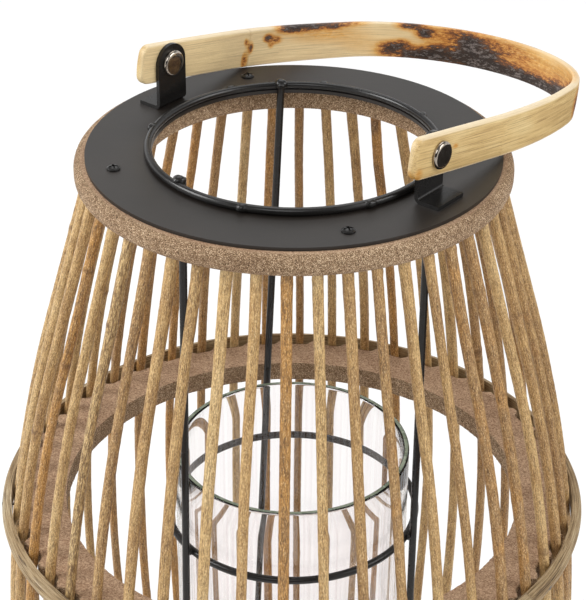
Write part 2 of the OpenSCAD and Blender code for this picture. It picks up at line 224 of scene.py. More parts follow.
def stick_wood():
    """Varnished sticks with grain, bark flecks and knots. rod holds the place on a stick, along it
    in z. tone, bark and knot say how dark, how flecked and how close to a knot it is there."""
    s = Shader("stick_wood", IOR=1.48)
    rod = s.attribute("rod", "Vector")
    tone = s.attribute("tone")
    bark = s.attribute("bark")
    knot = s.attribute("knot")
    grain = s.noise(s.stretched(rod, (1, 1, 0.09)), 0.4 * MM, 3, 0.7)
    fleck = s.noise(s.stretched(rod, (1, 1, 0.2)), 0.55 * MM, 3, 0.7)
    speck = s.noise(s.stretched(rod, (1, 1, 0.4)), 0.36 * MM, 2, 0.7)
    patch = s.noise(s.stretched(rod, (1, 1, 0.45)), 9 * MM, 3, 0.55, 0.6)
    base = s.ramp(
        s.maths("ADD", s.maths("MULTIPLY", tone, 0.55), s.maths("MULTIPLY", patch, 0.55)),
        (0.16, srgb(240, 214, 164)), (0.36, srgb(224, 190, 134)), (0.5, srgb(208, 170, 114)),
        (0.63, srgb(188, 150, 102)), (0.78, srgb(214, 162, 90)), (0.92, srgb(158, 120, 76)))
    grained = s.mix(0.9, base, s.ramp(
        grain, (0.3, srgb(134, 118, 98)), (0.5, srgb(230, 222, 208)), (0.64, WHITE)), "MULTIPLY")
    specked = s.mix(0.65, grained, s.ramp(
        speck, (0.3, srgb(96, 82, 68)), (0.56, WHITE)), "MULTIPLY")
    pale = s.mix(s.level(speck, 0.56, 0.7, 0, 0.5), specked, srgb(246, 226, 184))
    barked_there = s.maths("MULTIPLY", s.maths("ADD", bark, s.level(patch, 0.5, 0.8, 0, 0.3)), 0.2)
    flecked = s.level(s.maths("ADD", fleck, barked_there), 0.65, 0.76, 0, 0.75)
    barked = s.mix(flecked, pale, srgb(98, 70, 42))
    s.feed("Base Color", s.mix(s.level(knot, 0.25, 0.9, 0, 0.8), barked, srgb(92, 60, 36)))
    s.feed("Roughness", s.level(fleck, 0.4, 0.75, 0.4, 0.62))
    s.feed("Normal", s.bump(
        fleck, 0.22 * MM, 0.7, s.bump(grain, 0.16 * MM, 0.6, s.bump(patch, 0.5 * MM, 0.3))))
    return s.material


def cane():
    """Split cane with long fibres. rod runs round the hoop in z."""
    s = Shader("cane", Specular_IOR_Level=0.35)
    rod = s.attribute("rod", "Vector")
    fibre = s.noise(s.stretched(rod, (1, 1, 0.03)), 0.5 * MM, 4, 0.7)
    crack = s.noise(s.stretched(rod, (1, 1, 0.045)), 1.2 * MM, 3, 0.6)
    patch = s.noise(s.stretched(rod, (1, 1, 0.25)), 14 * MM, 3, 0.6)
    speck = s.noise(rod, 0.45 * MM, 2)
    base = s.ramp(
        patch, (0.3, srgb(150, 126, 92)), (0.5, srgb(184, 162, 126)), (0.7, srgb(204, 188, 158)))
    lined = s.mix(1.0, base, s.ramp(
        fibre, (0.3, srgb(92, 78, 62)), (0.47, srgb(214, 204, 190)), (0.62, WHITE)), "MULTIPLY")
    dotted = s.mix(0.4, lined, s.ramp(
        speck, (0.3, srgb(170, 160, 148)), (0.6, WHITE)), "MULTIPLY")
    s.feed("Base Color", s.mix(s.level(crack, 0.39, 0.33, 0, 0.85), dotted, srgb(70, 50, 34)))
    s.feed("Roughness", s.level(fibre, 0.3, 0.7, 0.75, 0.55))
    s.feed("Normal", s.bump(fibre, 0.3 * MM, 0.8, s.bump(crack, 0.6 * MM, 0.5)))
    return s.material


def bamboo():
    """The handle's bamboo. Its inner side is paler, partly its real paler pith and partly painted light that
    lifts the shade on the inner face, and its sawn edges are paler, partly from cut fibres and partly a
    painted edge highlight. rod runs along the strip in z, up it in y and through it in x. char says how
    scorched it is there, and knot how close to a joint."""
    s = Shader("bamboo", IOR=1.5)
    rod = s.attribute("rod", "Vector")
    char = s.attribute("char")
    knot = s.attribute("knot")
    fibre = s.noise(s.stretched(rod, (1, 1, 0.016)), 0.42 * MM, 4, 0.7)
    streak = s.noise(s.stretched(rod, (1, 1, 0.03)), 2.4 * MM, 3, 0.6)
    patch = s.noise(s.stretched(rod, (1, 1, 0.4)), 16 * MM, 3, 0.55)
    fleck = s.noise(s.stretched(rod, (1, 1, 0.35)), 1.1 * MM, 4, 0.75)
    base = s.ramp(
        patch, (0.3, srgb(196, 166, 112)), (0.52, srgb(214, 186, 130)), (0.72, srgb(226, 204, 152)))
    lined = s.mix(0.85, base, s.ramp(
        fibre, (0.3, srgb(150, 130, 104)), (0.48, srgb(234, 226, 212)), (0.64, WHITE)), "MULTIPLY")
    across = s.add("SeparateXYZ", {"Vector": rod})
    # Painted light, in part: the inner face is made paler partly for its real paler pith and partly to lift
    # the shade that falls on it
    inner_pith_and_painted_light = s.level(across.outputs["X"], -1 * MM, 1 * MM, 0.3, 0)
    # Painted highlight, in part: the top and bottom edges are made paler partly for cut fibres and partly as
    # a painted edge highlight
    sawn = s.level(s.maths("ABSOLUTE", across.outputs["Y"], 0), 7.2 * MM, 7.9 * MM, 0, 0.55)
    pale_fibres_and_painted_light = s.mix(sawn, s.mix(inner_pith_and_painted_light, lined, srgb(250, 234, 196)), srgb(240, 224, 194))
    streaked = s.mix(s.level(streak, 0.6, 0.75, 0, 0.4), pale_fibres_and_painted_light, srgb(196, 160, 106))
    rough_edge = s.maths("MULTIPLY", s.level(fleck, 0.25, 0.75, -0.5, 0.5), s.level(char, 0.1, 0.5, 0, 1))
    burnt = s.maths("ADD", char, rough_edge)
    scorched = s.mix(1.0, streaked, s.ramp(
        burnt, (0.05, WHITE), (0.18, srgb(246, 212, 152)), (0.31, srgb(218, 162, 92)),
        (0.43, srgb(158, 106, 62)), (0.55, srgb(104, 74, 58)), (0.72, srgb(64, 50, 48)),
        (1.0, srgb(44, 36, 40))), "MULTIPLY")
    ashes = s.mix(
        s.maths("MULTIPLY", s.level(burnt, 0.6, 0.85), s.level(fleck, 0.52, 0.6, 0, 0.6)),
        scorched, srgb(136, 126, 122))
    s.feed("Base Color", s.mix(s.level(knot, 0.3, 1, 0, 0.5), ashes, srgb(150, 110, 66)))
    s.feed("Roughness", s.level(burnt, 0.3, 0.8, 0.42, 0.68))
    s.feed("Normal", s.bump(
        fibre, 0.14 * MM, 0.6, s.bump(fleck, 0.35 * MM, 0.15, s.bump(streak, 0.3 * MM, 0.25))))
    return s.material


def nickel():
    """Polished rivet caps, a little dented."""
    s = Shader("nickel", Metallic=1.0)
    where = s.place()
    dent = s.noise(where, 3.2 * MM, 2)
    scratch = s.noise(s.place((1, 1, 6)), 1.1 * MM, 3, 0.7)
    s.feed("Base Color", s.ramp(dent, (0.3, srgb(150, 140, 128)), (0.7, srgb(186, 178, 168))))
    s.feed("Roughness", s.level(scratch, 0.35, 0.7, 0.06, 0.2))
    s.feed("Normal", s.bump(dent, 0.4 * MM, 0.2))
    return s.material


def dull_steel():
    """The brads' heads: steel gone brown and dull."""
    s = Shader("dull_steel", Metallic=0.8)
    where = s.place()
    rust = s.noise(where, 0.6 * MM, 3)
    s.feed("Base Color", s.ramp(rust, (0.35, srgb(96, 84, 74)), (0.65, srgb(140, 132, 124))))
    s.feed("Roughness", s.level(rust, 0.3, 0.7, 0.35, 0.6))
    return s.material


def clear_glass():
    """Clear pressed glass with faint upright streaks. Its body is a little green."""
    s = Shader("clear_glass", IOR=1.42, Transmission_Weight=1.0, Roughness=0.0)
    streak = s.noise(s.place((1, 1, 0.01)), 1.6 * MM, 1)
    s.feed("Base Color", s.ramp(streak, (0.35, (0.94, 0.89, 0.895, 1)), (0.62, (0.99, 0.965, 0.965, 1))))
    ripple = s.noise(s.place((1, 1, 0.1)), 18 * MM, 1)
    s.feed("Normal", s.bump(ripple, 0.1 * MM, 0.2))
    body = s.add("VolumeAbsorption", {"Color": (0.5, 0.62, 0.4, 1), "Density": 16.0})
    s.tree.links.new(body.outputs[0], s.tree.nodes["Material Output"].inputs["Volume"])
    return s.material


def glass_lip_painted_light():
    """The cup's flat lip, painted grey-green to stand in for the light that has run along the wall and comes
    out there.
    """
    s = Shader("glass_lip_painted_light", IOR=1.42, Transmission_Weight=0.35, Specular_IOR_Level=0.4)
    cloud = s.noise(s.place(), 6 * MM, 2)
    # Painted light: this grey-green colour stands in for the light that the glass wall carries up to the lip
    s.feed("Base Color", s.ramp(cloud, (0.3, srgb(126, 140, 120)), (0.7, srgb(168, 180, 158))))
    s.feed("Roughness", s.level(cloud, 0.3, 0.7, 0.2, 0.35))
    return s.material


# ---- Mesh helpers ----

def new_object(name, data):
    """An object in the scene for a mesh, light or camera."""
    item = bpy.data.objects.new(name, data)
    bpy.context.scene.collection.objects.link(item)
    return item


def grid_faces(rings, sides, closed, first=0):
    """Quads between neighbouring rings of points, with end caps unless the rings close on themselves."""
    def at(ring, side):
        return first + (ring % rings) * sides + side % sides
    quads = [
        (at(j, k), at(j, k + 1), at(j + 1, k + 1), at(j + 1, k))
        for j in range(rings if closed else rings - 1)
        for k in range(sides)
    ]
    if closed:
        return quads
    return quads + [
        tuple(at(0, k) for k in reversed(range(sides))),
        tuple(at(rings - 1, k) for k in range(sides)),
    ]


class Skin:
    """Gathers swept surfaces, with their values at each point, into one mesh."""

    def __init__(self):
        self.points, self.faces, self.values = [], [], {}

    def add(self, grid, closed=False, **values):
        """grid is an array of rings by sides by 3, and values are what its points carry."""
        rings, sides, _ = grid.shape
        first = sum(len(p) for p in self.points)
        self.points.append(grid.reshape(-1, 3))
        self.faces += grid_faces(rings, sides, closed, first)
        for name, value in values.items():
            wide = value.shape[-1:] == (3,)
            shaped = np.broadcast_to(value, grid.shape if wide else grid.shape[:2])
            self.values.setdefault(name, []).append(shaped.reshape(-1, 3) if wide else shaped.reshape(-1))

    def build(self, name, material, crease=None):
        """The mesh object: smooth, with edges sharper than crease degrees kept sharp."""
        mesh = bpy.data.meshes.new(name)
        mesh.from_pydata(np.concatenate(self.points).tolist(), [], self.faces)
        for key, parts in self.values.items():
            data = np.concatenate(parts).astype(np.float32)
            kind = "FLOAT_VECTOR" if data.ndim == 2 else "FLOAT"
            layer = mesh.attributes.new(key, kind, "POINT")
            layer.data.foreach_set("vector" if data.ndim == 2 else "value", data.ravel())
        mesh.polygons.foreach_set("use_smooth", [True] * len(mesh.polygons))
        if crease is not None:
            mesh.set_sharp_from_angle(angle=math.radians(crease))
        mesh.materials.append(material)
        mesh.update()
        return new_object(name, mesh)


def finish_piece(piece, body, slot, *replaced):
    """Puts a piece on its body and hides the CAD nodes that it stands for. slot is not used."""
    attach(piece, body)
    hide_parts(*replaced)


def waves(rng, along, length, count=4):
    """A smooth random curve of about unit height, made of a few sine waves per length."""
    total = np.zeros_like(along)
    for k in range(1, count + 1):
        total += rng.normal() / k * np.sin(2 * math.pi * k * along / length + rng.uniform(0, 2 * math.pi))
    return total / 1.6


def bearings(count):
    """Evenly spaced angles round a full turn."""
    return np.arange(count) * 2 * math.pi / count


def circle(sides):
    """Points round a circle of radius 1, and their angles."""
    turn = bearings(sides)
    return np.stack([np.cos(turn), np.sin(turn)], -1), turn


def turned(r, z, turn):
    """Points at radius r and height z on each bearing in turn."""
    x, y = r * np.cos(turn), r * np.sin(turn)
    return np.stack([x, y, np.broadcast_to(z, x.shape)], -1)


def swept(path, side, up, outline):
    """Rings of outline, in the side and up directions, along path."""
    return path[:, None] + side[:, None] * outline[..., :1] + up[:, None] * outline[..., 1:]


def unit(v):
    """Vectors made one long."""
    return v / np.linalg.norm(v, axis=-1, keepdims=True)


# ---- Sticks ----
base_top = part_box("base_ring")[1].z
top_ring_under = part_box("top_ring")[0].z


def stick_line(along):
    """Radius, height and slope angle of a stick's middle line, by length from the top ring down."""
    low_r = STICK_TOP_R + STICK_STRAIGHT * math.sin(STICK_LEAN)
    low_z = top_ring_under - STICK_STRAIGHT * math.cos(STICK_LEAN)
    centre_r = low_r - STICK_BEND_R * math.cos(STICK_LEAN)
    centre_z = low_z - STICK_BEND_R * math.sin(STICK_LEAN)
    slope = STICK_LEAN - np.maximum(along - STICK_STRAIGHT, 0) / STICK_BEND_R
    straight = np.minimum(along - STICK_STRAIGHT, 0)
    r = centre_r + STICK_BEND_R * np.cos(slope) + straight * math.sin(STICK_LEAN)
    z = centre_z + STICK_BEND_R * np.sin(slope) - straight * math.cos(STICK_LEAN)
    return r, z, slope


def stick_length():
    """Length at which a stick reaches the base ring."""
    tries = np.linspace(STICK_STRAIGHT, 0.45, 2000)
    return float(np.interp(-base_top, -stick_line(tries)[1], tries))


STICK_LENGTH = stick_length()
STICK_RINGS = 190
STICK_SIDES = 14
SOCKET = 3 * MM
# How far a stick bends sideways and outwards, and how far it stands off its place
STICK_SWAY = 0.55 * MM
STICK_BOW = 0.3 * MM
STICK_SHIFT = 0.35 * MM
KNOT_HALF_L = 1.7 * MM
KNOT_RISE = 0.28 * MM
# How far down the thicker top and the chipped end reach
THICK_TOP = 30 * MM
CHIPPED_TOP = 3 * MM
# How far along the grain each stick starts after the last, so that no two look alike
GRAIN_STEP = 0.9


def add_stick(skin, index):
    """One stick with its own bends, thickness, knots and bark."""
    rng = np.random.default_rng(100 + index)
    along = np.linspace(-SOCKET, STICK_LENGTH + SOCKET, STICK_RINGS)
    r, z, slope = stick_line(along)
    free = np.clip(np.sin(math.pi * np.clip(along / STICK_LENGTH, 0, 1)) * 3, 0, 1)
    sideways = free * (STICK_SWAY * waves(rng, along, STICK_LENGTH, 3) + rng.normal(0, STICK_SHIFT))
    outwards = free * STICK_BOW * waves(rng, along, STICK_LENGTH, 4)
    turn = STICK_PHASE + index * STICK_PITCH
    out = np.array([math.cos(turn), math.sin(turn), 0])
    round_ = np.array([-math.sin(turn), math.cos(turn), 0])
    down = np.sin(slope)[:, None] * out - np.cos(slope)[:, None] * UP
    side = np.broadcast_to(round_, down.shape)
    up = np.cross(down, side)
    path = (r + outwards)[:, None] * out + sideways[:, None] * round_ + z[:, None] * UP

    thick = STICK_R * rng.uniform(0.98, 1.14) * (1 + 0.04 * waves(rng, along, STICK_LENGTH, 7))
    thick *= 1 + 0.08 * np.exp(-np.maximum(along, 0) / THICK_TOP)
    knot = np.zeros_like(along)
    for _ in range(rng.integers(1, 4)):
        size = rng.uniform(0.35, 1)
        knot += size * np.exp(-((along - rng.uniform(20 * MM, STICK_LENGTH)) / KNOT_HALF_L) ** 2)
    chipped = np.exp(-np.maximum(along, 0) / CHIPPED_TOP)
    outline, around = circle(STICK_SIDES)
    oval = 1 + 0.05 * np.cos(2 * around + rng.uniform(0, 6)) + 0.025 * np.cos(3 * around + rng.uniform(0, 6))
    rough = rng.normal(0, 1, (STICK_RINGS, STICK_SIDES))
    r_there = thick[:, None] * oval + KNOT_RISE * knot[:, None]
    r_there += rough * (0.025 + 0.2 * chipped[:, None]) * MM
    grid = swept(path, side, up, outline * r_there[..., None])

    rod = np.stack([
        outline[:, 0] * r_there, outline[:, 1] * r_there,
        np.broadcast_to((along + GRAIN_STEP * index)[:, None], r_there.shape)], -1)
    side_knot = knot[:, None] * (0.6 + 0.4 * np.cos(around + rng.uniform(0, 6)))
    bark = np.clip(rng.normal(0.25, 0.3) + 0.25 * waves(rng, along, STICK_LENGTH, 5), 0, 1)
    skin.add(
        grid, rod=rod, knot=side_knot, bark=bark[:, None],
        tone=np.clip(rng.normal(0.42, 0.25) - 0.3 * chipped[:, None], 0, 1) * np.ones_like(r_there))


def sticks(material):
    """All the sticks, two neighbours to a piece."""
    for pair in range(STICK_COUNT // 2):
        skin = Skin()
        add_stick(skin, 2 * pair)
        add_stick(skin, 2 * pair + 1)
        name = f"sticks_{pair + 1:02d}"
        finish_piece(skin.build("wood_" + name, material), "lantern", "stick_wood", name)


# ---- Hoop ----

def hoop(material):
    """The cane hoop: half-round, with fibres that stand up a little and a slow change of thickness."""
    low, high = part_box("mid_hoop")
    half_h = (high.z - low.z) / 2
    middle = (high.z + low.z) / 2
    inner = high.x - half_h
    rng = np.random.default_rng(7)
    turn = bearings(900)
    arc = np.linspace(-math.pi / 2, math.pi / 2, 21)
    groove = 0.11 * MM * rng.normal(0, 1, len(arc))
    drift = 0.09 * MM * np.array([waves(rng, turn, 2 * math.pi, 9) for _ in arc]).T
    reach = half_h * (1 + 0.03 * waves(rng, turn, 2 * math.pi, 6))[:, None] + groove + drift
    reach[:, 0] = half_h
    reach[:, -1] = half_h
    r = inner + reach * np.cos(arc)
    z = middle + reach * np.sin(arc) + (0.35 * MM * waves(rng, turn, 2 * math.pi, 4))[:, None]
    grid = turned(r, z, turn[:, None])
    rod = np.stack([
        reach * np.cos(arc), reach * np.sin(arc), np.broadcast_to((inner * turn)[:, None], r.shape)], -1)
    skin = Skin()
    skin.add(grid, closed=True, rod=rod)
    finish_piece(skin.build("cane_hoop", material, 50), "lantern", "cane", "mid_hoop")


# ---- Middle ring ----

def middle_ring(material):
    """The middle board, sawn out roughly: it bulges a little between the sticks, and its inner
    wall is torn."""
    low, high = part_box("mid_ring")
    outer_r = high.x
    inner_r = min(math.hypot(v.co.x, v.co.y) for v in nodes["mid_ring"].data.vertices)
    rng = np.random.default_rng(31)
    bulge = 3.2 * MM
    soft = 0.5 * MM
    count = STICK_COUNT * 14
    turn = bearings(count)
    between = 0.5 - 0.5 * np.cos((turn - STICK_PHASE) * STICK_COUNT)
    edge = outer_r + bulge * np.clip(2.2 * between - 1.1, 0, 1) * (1 + 0.1 * rng.normal(0, 1, count))
    rise = np.linspace(0, 1, 7)
    tear = 0.16 * MM * rng.normal(0, 1, (count, len(rise))) + 0.25 * MM * np.array(
        [waves(rng, turn, 2 * math.pi, 14) for _ in rise]).T
    tear[:, [0, -1]] *= 0.5
    inner = inner_r + 0.1 * MM + tear
    z_inner = low.z + rise * (high.z - low.z)
    near_hole = (inner_r + 1 * MM) * np.ones((count, 1))
    near_edge = (edge - soft)[:, None]
    r = np.concatenate([inner, near_hole, near_edge, edge[:, None], edge[:, None], near_edge, near_hole], 1)
    z = np.concatenate([z_inner, [high.z, high.z, high.z - soft, low.z + soft, low.z, low.z]])
    skin = Skin()
    skin.add(turned(r, z, turn[:, None]), closed=True)
    finish_piece(skin.build("board_middle", material, 40), "lantern", "fibreboard", "mid_ring")


# ---- Handle ----
leg_rise = REACH - BEND_R - ARM_STRAIGHT
leg_r = (ARM_X ** 2 + leg_rise ** 2 - BEND_R ** 2) / (2 * (ARM_X - BEND_R))
leg_angle = math.asin(leg_rise / (leg_r - BEND_R))
HALF_STRIP = ARM_TAIL + ARM_STRAIGHT + leg_r * leg_angle + BEND_R * (math.pi / 2 - leg_angle)

# Scorch marks: length along the strip and height across it from its middle, their two spreads,
# all in millimetres, and how black each one is
SCORCHES = (
    (64, -5, 1.6, 3.4, 0.5), (67, 0.5, 1.6, 2.2, 0.6), (64, 3, 1.2, 1.5, 0.4), (78, 3.8, 2.6, 1.5, 0.75),
    (83, 2.6, 2.6, 1.3, 0.55), (80, 0.5, 1.5, 1.2, 0.35), (93, 7.4, 8, 1.8, 0.9), (106, 7.7, 9, 1.5, 0.65),
    (122, 7.9, 12, 1.3, 0.4), (118, 6.5, 3, 1, 0.35),
    (149, -3.5, 5, 2.6, 0.6), (155, -1.5, 4, 2, 0.55), (164, -6, 13, 2.9, 0.95), (158, 7.2, 6, 1.7, 0.75),
    (165, 4.2, 3.6, 1.8, 0.9), (171, -3, 6, 2.6, 0.5), (189, -4.8, 12, 4, 0.95), (187, 2.2, 4.6, 3.4, 0.75),
    (197, -0.5, 4, 2.5, 0.45), (207, -6, 14, 2.9, 0.95), (228, -6, 14, 2.8, 0.95),
    (248, -4.8, 10, 3.6, 0.9), (266, -2.6, 8, 5, 0.8), (276, -1, 5, 6, 0.45),
    (184, 1, 16, 8, 0.3), (203, 3, 18, 5, 0.3), (178, 6, 12, 3, 0.2),
    (110, 4, 24, 5, 0.16), (135, -2, 16, 6, 0.1), (236, 0, 28, 9, 0.2), (264, 2, 14, 8, 0.2),
    (386, 2, 2, 1, 0.35), (391, -2.5, 1.4, 1, 0.4), (408, -6, 3, 3, 0.3))
# Joints of the bamboo: length along the strip, and how much each one shows
JOINTS = ((66 * MM, 1.0), (352 * MM, 0.5))
# Where the strip sags and where it is narrower: place along it, spread, and how much
SAG_AT, SAG_SPREAD, SAG = 130 * MM, 58 * MM, 1.5 * MM
WAIST_AT, WAIST_SPREAD, WAIST = 160 * MM, 60 * MM, 0.05
# How far the strip's faces swell in their middle, and how far its joints stand up
CROWN = 0.35 * MM
JOINT_RISE = 0.35 * MM


def handle_line(along):
    """The strip's middle line before it is folded down, from the -X end round to the +X end, and
    the direction out of the loop there."""
    s = HALF_STRIP - np.abs(along - HALF_STRIP)
    arm = ARM_TAIL + ARM_STRAIGHT
    leg = np.clip((s - arm) / leg_r, 0, leg_angle)
    bend = np.maximum(s - arm - leg_r * leg_angle, 0) / BEND_R
    x = ARM_X - leg_r * (1 - np.cos(leg)) + BEND_R * (np.cos(leg_angle + bend) - math.cos(leg_angle))
    y = np.minimum(s, arm) - ARM_TAIL + leg_r * np.sin(leg)
    y += BEND_R * (np.sin(leg_angle + bend) - math.sin(leg_angle))
    facing = leg + bend
    sign = np.where(along < HALF_STRIP, -1, 1)
    line = np.stack([sign * x, y, 0 * x], -1)
    return line, np.stack([sign * np.cos(facing), np.sin(facing), 0 * x], -1)


def strip_outline():
    """A rounded rectangle round the strip, from -1 to 1 each way: through the strip, then up it."""
    faces = np.linspace(-0.93, 0.93, 19)
    outer = np.stack([np.ones(19), faces], -1)
    inner = np.stack([-np.ones(19), faces[::-1]], -1)
    top = np.array([(0.86, 0.98), (0.55, 1), (0, 1), (-0.55, 1), (-0.86, 0.98)])
    return np.concatenate([outer, top, inner, -top])


def handle(material):
    """The bent strip with its rounded ends, joints and scorch marks, folded down at its pivot."""
    total = 2 * HALF_STRIP
    rng = np.random.default_rng(21)
    near_end = np.array([0, 0.15, 0.4, 0.8, 1.4, 2.2, 3.2]) * MM
    middle = np.linspace(STRIP_CORNER, total - STRIP_CORNER, 380)
    along = np.concatenate([near_end, middle, (total - near_end)[::-1]])
    line, out = handle_line(along)
    end = np.minimum(along, total - along)
    short = np.clip(STRIP_CORNER - end, 0, None)
    half_w = STRIP_HALF_W - STRIP_CORNER + np.sqrt(np.maximum(STRIP_CORNER ** 2 - short ** 2, 0))
    half_w = half_w * (1 + 0.012 * waves(rng, along, total, 8))
    half_w = half_w * (1 - WAIST * np.exp(-((along - WAIST_AT) / WAIST_SPREAD) ** 2))
    half_t = STRIP_HALF_T * (1 - 0.3 * np.exp(-end / (0.5 * MM))) * (1 + 0.05 * waves(rng, along, total, 9))
    outline = strip_outline()
    outer = outline[:, 0] > 0
    on_face = np.abs(outline[:, 0]) > 0.9
    crown = CROWN * (1 - outline[:, 1] ** 2) * on_face
    ridge = sum(size * np.exp(-((along - at) / (1.3 * MM)) ** 2) for at, size in JOINTS)
    across = outline[:, 0] * half_t[:, None] + crown * np.where(outer, 1, -0.5)
    across += JOINT_RISE * ridge[:, None] * np.sign(outline[:, 0]) * on_face
    across += rng.normal(0, 0.02 * MM, across.shape) * on_face
    height = outline[:, 1] * half_w[:, None]
    lift = -SAG * np.exp(-((along - SAG_AT) / SAG_SPREAD) ** 2)
    lift += 0.15 * MM * waves(rng, along, total, 5)
    up = np.broadcast_to(UP, out.shape)
    grid = swept(line, out, up, np.stack([across, height + lift[:, None]], -1))
    char = np.zeros(across.shape)
    for at, level, spread, rise, black in SCORCHES:
        char += black * np.exp(
            -((along[:, None] - at * MM) / (spread * MM)) ** 2 - ((height - level * MM) / (rise * MM)) ** 2)
    char = np.clip(char, 0, 1.05) * np.where(outer, 0.7, 1)
    rod = np.stack([across, height, np.broadcast_to(along[:, None], across.shape)], -1)
    skin = Skin()
    skin.add(grid, rod=rod, char=char, knot=0.7 * ridge[:, None])
    piece = skin.build("bamboo_handle", material, 55)
    fold = Matrix.Translation((0, 0, pivot_z)) @ Matrix.Rotation(-HANDLE_DIP, 4, "X")
    piece.data.transform(fold)
    finish_piece(piece, "handle", "bamboo", "handle")


# ---- Wire cage ----

# Beads of weld, each by its half size outwards, sideways and up
ROD_TO_RIM = (2.8 * MM, 2.5 * MM, 2.3 * MM)
RIM_TACK = (1.8 * MM, 2.6 * MM, 1.75 * MM)
ROD_TO_RING = (1.9 * MM, 1.8 * MM, 1.7 * MM)
REST_TO_RING = (1.8 * MM, 1.6 * MM, 1.4 * MM)
# Bearings of the small tacks that hold the rim wire to the plate, in degrees
RIM_TACKS = (66, 117, 156, 205, 290, 338)


def add_wire_ring(skin, centre, r, rng):
    """A wire bent into a ring by hand."""
    turn = bearings(240)
    outline, _ = circle(16)
    out = np.stack([np.cos(turn), np.sin(turn), 0 * turn], -1)
    path = (r + 0.12 * MM * waves(rng, turn, 2 * math.pi, 5))[:, None] * out
    path = path + centre
    up = np.broadcast_to(UP, out.shape)
    size = WIRE_R * (1 + 0.015 * waves(rng, turn, 2 * math.pi, 12))
    skin.add(swept(path, out, up, outline * size[:, None, None]), closed=True)


def add_wire(skin, start, end):
    """A straight wire with its two cut ends rounded off."""
    start, end = np.array(start), np.array(end)
    along = unit(end - start)
    side = unit(np.cross(along, [0.3, 0.9, 0.2]))
    up = np.cross(along, side)
    length = np.linalg.norm(end - start)
    cut = 0.35 * MM
    middle = np.linspace(6 * MM, length - 6 * MM, 24)
    steps = np.array([0, cut / 3, cut, *middle, length - cut, length - cut / 3, length])
    shrink = np.ones(len(steps))
    shrink[[0, 1, -2, -1]] = (0.74, 0.92, 0.92, 0.74)
    outline, _ = circle(16)
    path = start + steps[:, None] * along
    rings = WIRE_R * shrink[:, None, None] * outline
    skin.add(swept(path, np.broadcast_to(side, path.shape), np.broadcast_to(up, path.shape), rings))


def add_weld(skin, centre, reach, rng):
    """A lumpy bead of weld. reach is its half size outwards, sideways and up."""
    turn = math.atan2(centre[1], centre[0])
    tall, sides = 12, 18
    rise = np.linspace(-0.98, 0.98, tall)
    outline, around = circle(sides)
    width = np.sqrt(1 - rise ** 2)
    lump = 1 + 0.12 * np.sin(2 * around + rng.uniform(0, 6)) + 0.1 * np.sin(3 * around + rng.uniform(0, 6))
    lump = lump * (1 + rng.normal(0, 0.04, (tall, sides)))
    x = width[:, None] * outline[:, 0] * lump * reach[0]
    y = width[:, None] * outline[:, 1] * lump * reach[1]
    z = rise[:, None] * reach[2] * np.ones(sides)
    grid = np.stack([
        centre[0] + x * math.cos(turn) - y * math.sin(turn),
        centre[1] + x * math.sin(turn) + y * math.cos(turn), centre[2] + z], -1)
    skin.add(grid)


def wire_ends(node):
    """The middles of a straight rod's two ends, top first."""
    points = np.array([v.co for v in nodes[node].data.vertices])
    top = points[points[:, 2] > points[:, 2].max() - WIRE_R]
    foot = points[points[:, 2] < points[:, 2].min() + WIRE_R]
    return top.mean(0), foot.mean(0)


def ring_place(node):
    """The middle of a wire ring, and its centreline radius."""
    low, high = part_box(node)
    return np.array((low + high) / 2), (high.x - low.x) / 2 - WIRE_R


def cage(material):
    """The rim wire, the three rods, the two lower rings and the wires that the cup stands on."""
    rng = np.random.default_rng(5)
    rods = {name: wire_ends(name) for name in ("upright_a", "upright_b", "upright_c")}
    for name, (top, foot) in rods.items():
        skin = Skin()
        add_wire(skin, top, foot)
        finish_piece(skin.build("rod_" + name, material, 60), "lantern", "black_steel", name)

    def beside(rod, centre, r, rise=0.0):
        """The place beside a rod at radius r from a ring's middle, a little above it if rise is given."""
        top, foot = rods[rod]
        at = top + (foot - top) * (top[2] - centre[2]) / (top[2] - foot[2])
        outwards = unit(at[:2] - centre[:2])
        return np.array([*(centre[:2] + outwards * r), centre[2] + rise])

    centre, rim_r = ring_place("rim_wire")
    skin = Skin()
    add_wire_ring(skin, centre, rim_r, rng)
    for rod in rods:
        add_weld(skin, beside(rod, centre, rim_r - WIRE_R, 1.1 * MM), ROD_TO_RIM, rng)
    for tack in RIM_TACKS:
        turn = math.radians(tack)
        at = centre + np.array([math.cos(turn), math.sin(turn), 0]) * (rim_r + 0.8 * MM)
        at[2] += 0.2 * MM
        add_weld(skin, at, RIM_TACK, rng)
    finish_piece(skin.build("wire_rim", material), "lantern", "black_steel", "rim_wire")

    for node, label in (("basket_ring", "wire_basket"), ("cage_foot_ring", "wire_foot")):
        centre, ring_r = ring_place(node)
        skin = Skin()
        add_wire_ring(skin, centre, ring_r, rng)
        for rod in rods:
            add_weld(skin, beside(rod, centre, ring_r + WIRE_R), ROD_TO_RING, rng)
        finish_piece(skin.build(label, material), "lantern", "black_steel", node)

    low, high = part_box("cup_rests")
    middle_x = (low.x + high.x) / 2
    rest_z = (low.z + high.z) / 2
    skin = Skin()
    for y in (low.y + WIRE_R, high.y - WIRE_R):
        half = math.sqrt(ring_r ** 2 - (y - centre[1]) ** 2) + WIRE_R / 2
        add_wire(skin, (middle_x - half, y, rest_z), (middle_x + half, y, rest_z))
        for x in (middle_x - half + 1.5 * MM, middle_x + half - 1.5 * MM):
            add_weld(skin, np.array([x, y, rest_z - WIRE_R]), REST_TO_RING, rng)
    finish_piece(skin.build("wire_rests", material, 60), "lantern", "black_steel", "cup_rests")


# ---- Glass cup ----

